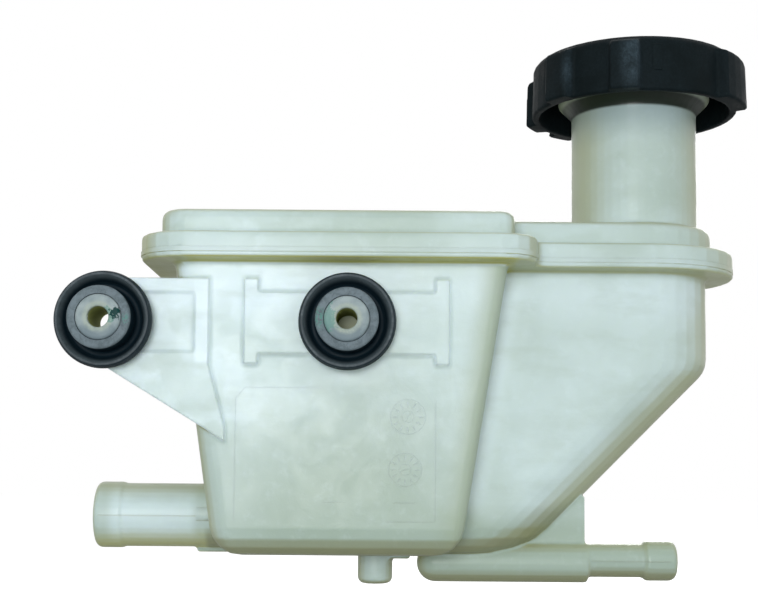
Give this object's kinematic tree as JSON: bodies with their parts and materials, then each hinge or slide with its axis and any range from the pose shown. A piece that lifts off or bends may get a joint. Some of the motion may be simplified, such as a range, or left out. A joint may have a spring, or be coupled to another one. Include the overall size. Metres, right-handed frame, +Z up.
{
  "type": "power steering reservoir",
  "caption": "Welded plastic fluid reservoir with an offset filler neck, a lobed screw cap, hose spigots below and rubber bush mounts in front.",
  "frame": {"origin": "centre of the middle bush's front face, on its bore axis", "axes": "+X along the tank towards the filler neck, +Y from the front wall to the back wall, +Z up"},
  "size_m": [0.2055, 0.0855, 0.1643],
  "materials": {
    "natural_plastic": "milky natural polypropylene, satin, faintly mottled",
    "cap_plastic": "black, finely textured",
    "seal_rubber": "smooth black rubber",
    "grommet_rubber": "dark grey moulded rubber",
    "bush_plastic": "greyish white moulded plastic",
    "filter_plastic": "off-white moulded plastic",
    "screen_nylon": "fine woven mesh"
  },
  "bodies": {
    "reservoir": {"lower_tank": "natural_plastic", "upper_cover": "natural_plastic", "filter_frame": "filter_plastic", "filter_screen": "screen_nylon", "grommet_left": "grommet_rubber", "grommet_middle": "grommet_rubber", "bush_left": "bush_plastic", "bush_middle": "bush_plastic"},
    "seal": {"cap_seal": "seal_rubber"},
    "cap": {"cap": "cap_plastic"}
  },
  "joints": [
    {"name": "cap_lift", "type": "slide", "parent": "reservoir", "child": "seal", "axis": [0, 0, 1], "range_m": [0, 0.018]},
    {"name": "cap_turn", "type": "hinge", "parent": "seal", "child": "cap", "pos_m": [0.0891, 0.0505, 0.0834], "axis": [0, 0, 1], "range_deg": [0, 1440]}
  ],
  "couplings": [
    {"joint": "cap_lift", "follows": "cap_turn", "m_per_rad": 0.0007162}
  ]
}
